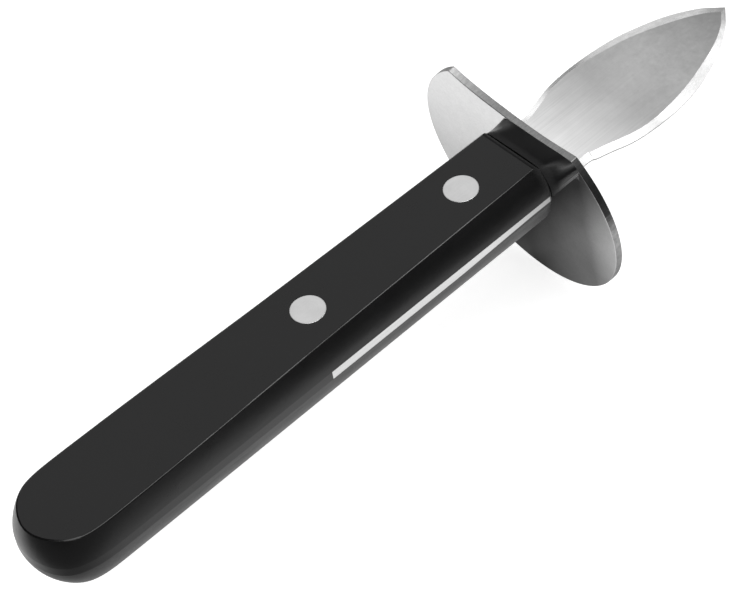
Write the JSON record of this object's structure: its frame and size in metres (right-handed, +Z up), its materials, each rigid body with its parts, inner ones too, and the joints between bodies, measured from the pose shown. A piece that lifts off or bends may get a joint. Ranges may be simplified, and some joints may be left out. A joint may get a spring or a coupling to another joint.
{
  "type": "oyster knife",
  "caption": "Short leaf-shaped blade with a large round steel hand guard, on a long flat-topped black handle held by two rivets.",
  "frame": {"origin": "on the handle's flat top face, on the knife's centre line, midway between the two rivets", "axes": "+X along the knife to the blade tip, +Y to the left seen from the butt, +Z up, out of the handle's flat top face"},
  "size_m": [0.1808, 0.0533, 0.0493],
  "materials": {
    "blade_steel": "brushed along the blade",
    "guard_steel": "satin",
    "handle_plastic": "fine matte",
    "collar_plastic": "fine matte",
    "rivet_metal": "satin, ground flush"
  },
  "bodies": {
    "root": {"blade": "blade_steel", "guard_plate": "guard_steel", "handle_body": "handle_plastic", "front_collar": "collar_plastic", "rear_rivet_upper": "rivet_metal", "rear_rivet_lower": "rivet_metal", "front_rivet_upper": "rivet_metal", "front_rivet_lower": "rivet_metal"}
  },
  "joints": []
}
